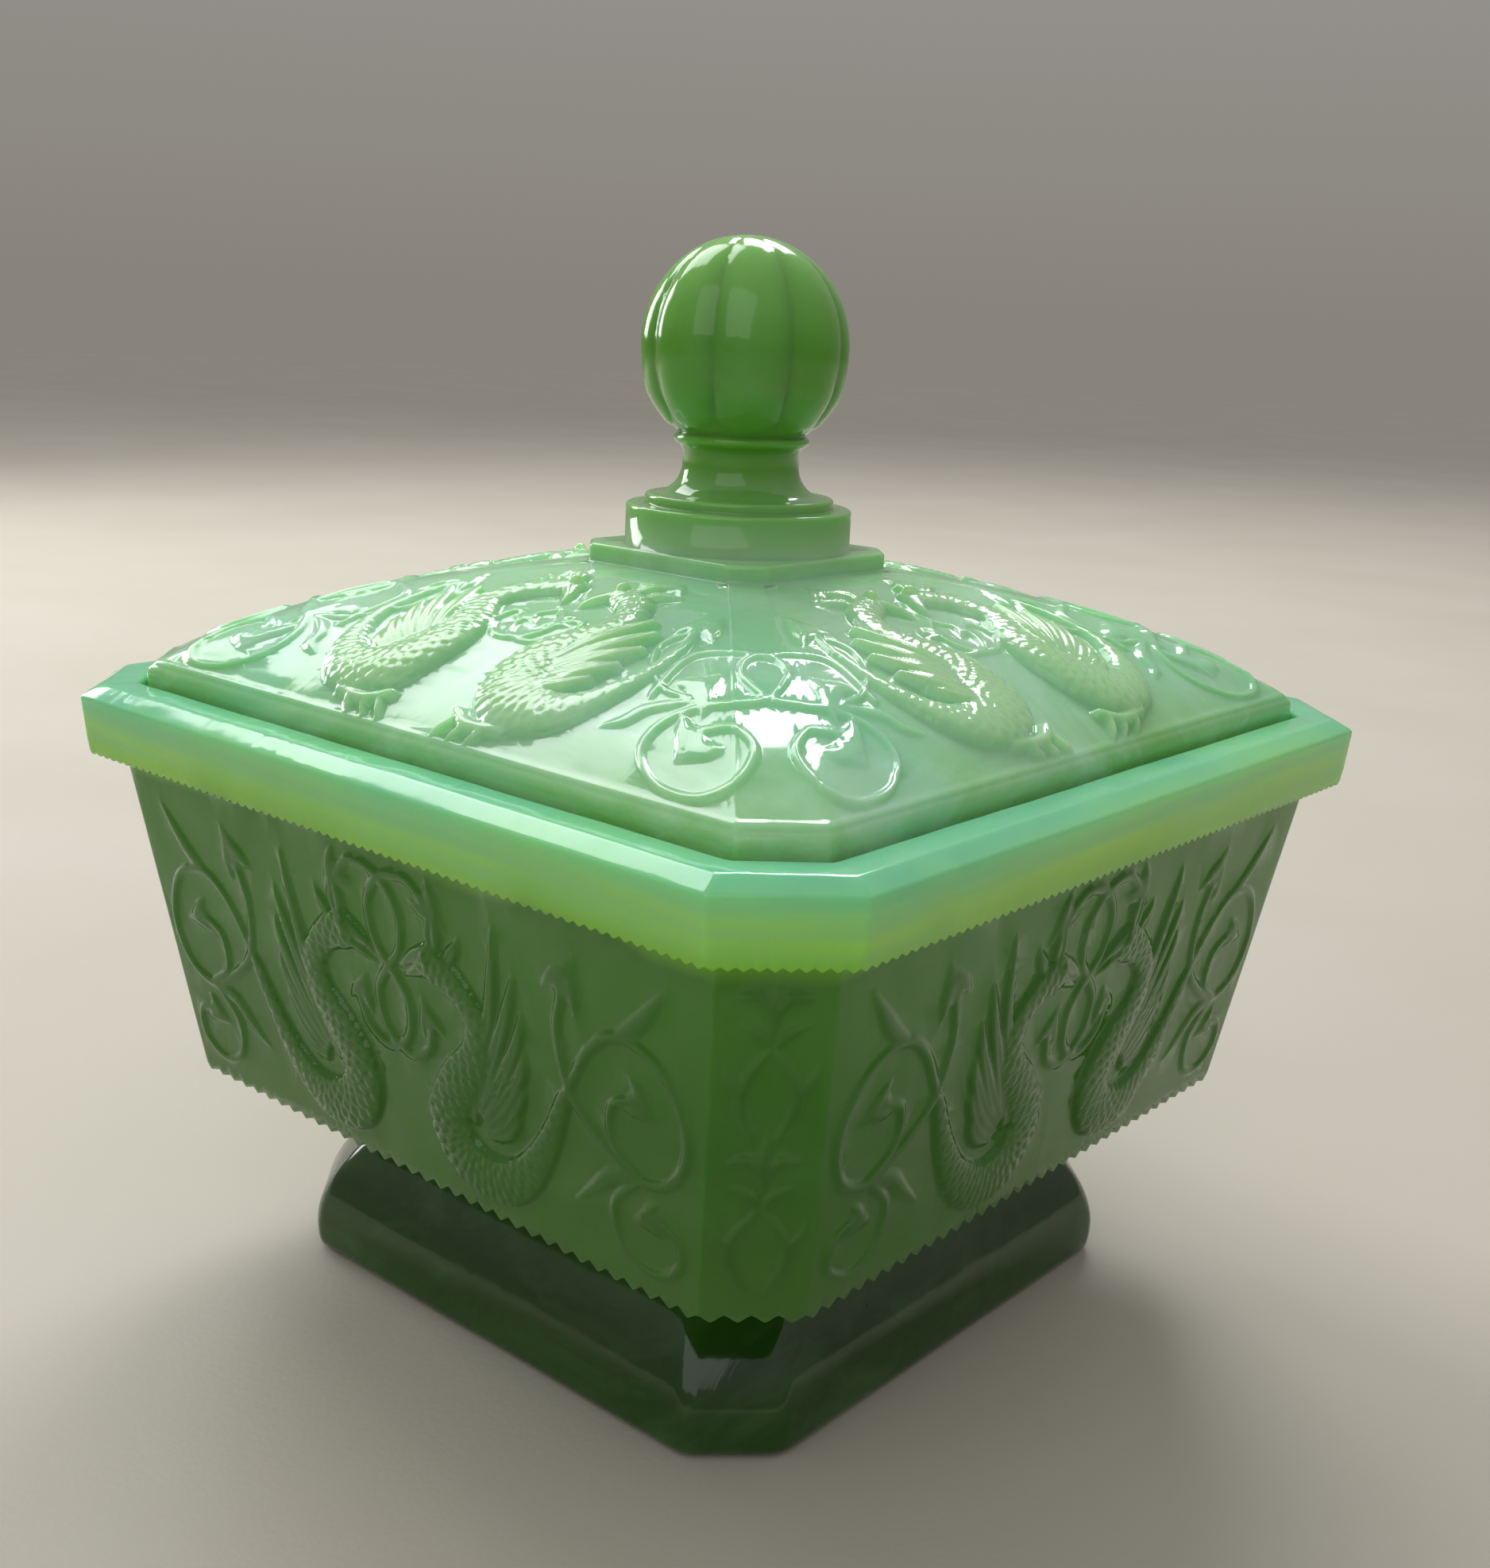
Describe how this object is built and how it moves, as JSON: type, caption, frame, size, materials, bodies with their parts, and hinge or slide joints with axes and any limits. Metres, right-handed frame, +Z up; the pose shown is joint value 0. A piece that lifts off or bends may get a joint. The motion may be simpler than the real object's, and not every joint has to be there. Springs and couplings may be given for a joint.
{
  "type": "covered candy dish",
  "caption": "Square footed glass candy dish with clipped corners, tapering sides, a thick rim and a lift-off domed lid with a ball finial.",
  "frame": {"origin": "middle of the flat ring that the foot rests on", "axes": "+Z up along the axis through the lid's finial; +X and +Y square to two neighbouring sides"},
  "size_m": [0.144, 0.144, 0.1553],
  "materials": {
    "jade_glass_bowl": "glossy opaque jade-green pressed glass",
    "jade_glass_lid": "glossy opaque jade-green pressed glass"
  },
  "bodies": {
    "bowl": {"bowl": "jade_glass_bowl"},
    "lid": {"lid": "jade_glass_lid"}
  },
  "joints": [
    {"name": "lid_lift", "type": "slide", "parent": "bowl", "child": "lid", "axis": [0, 0, 1], "range_m": [0, 0.08]}
  ]
}
